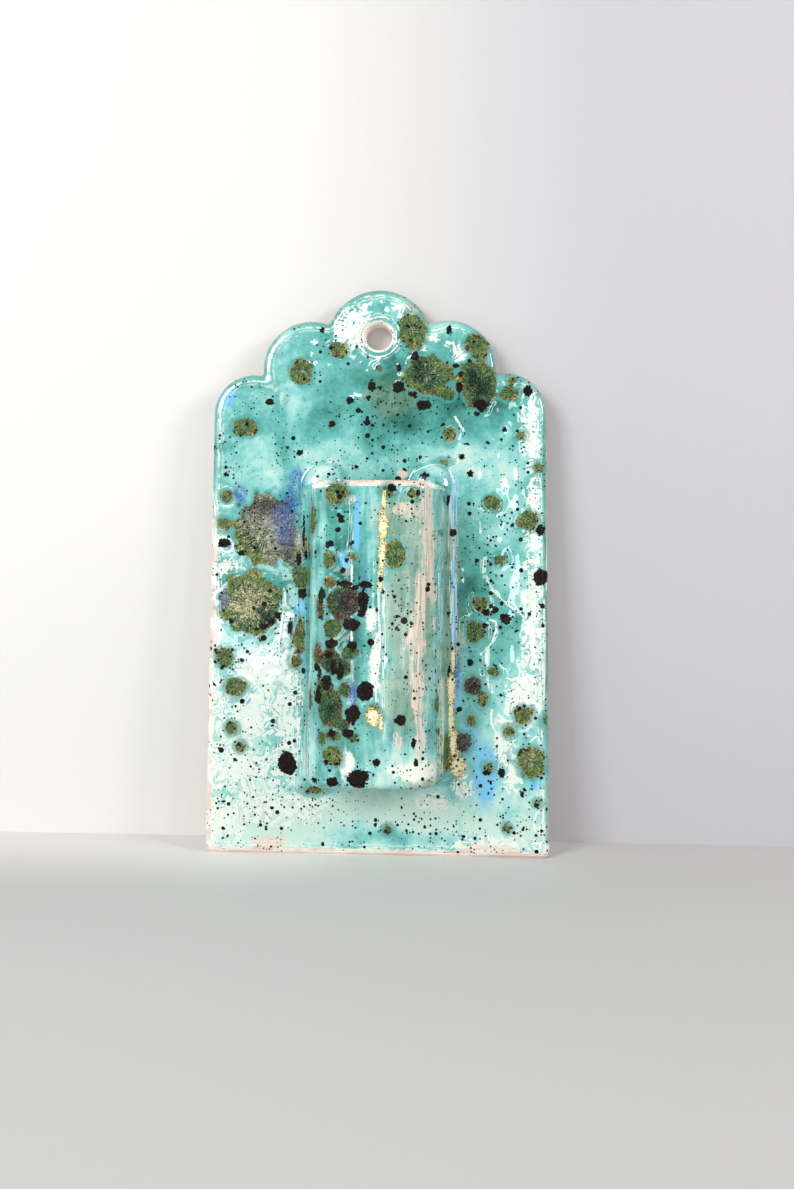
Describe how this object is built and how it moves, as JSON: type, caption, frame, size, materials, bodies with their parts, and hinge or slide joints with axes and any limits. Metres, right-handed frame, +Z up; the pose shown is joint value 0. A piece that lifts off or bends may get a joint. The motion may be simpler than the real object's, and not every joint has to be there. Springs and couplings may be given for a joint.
{
  "type": "hanging wall vase",
  "caption": "Slab-built ceramic wall plaque with a scalloped top, a hanging hole and a narrow flower pocket on its front, under a speckled turquoise glaze.",
  "frame": {"origin": "axis of the hanging hole in the plane of the wall behind, on the back face", "axes": "+Z up along the plaque, +Y into the wall, so the front faces -Y, and +X to the viewer's right"},
  "size_m": [0.132, 0.0336, 0.2205],
  "materials": {
    "clay": "fired matte, pale pinkish white",
    "glaze": "gloss, turquoise with olive and black crystal blooms",
    "lining": "gloss, plain turquoise"
  },
  "bodies": {
    "root": {"back_plate": "clay", "pocket_wall": "clay", "pocket_floor": "clay", "seam_coil_left": "clay", "seam_coil_right": "clay", "seam_coil_base": "clay", "floor_coil": "clay", "plate_glaze": "glaze", "pocket_glaze": "glaze", "lining_glaze": "lining"}
  },
  "joints": []
}
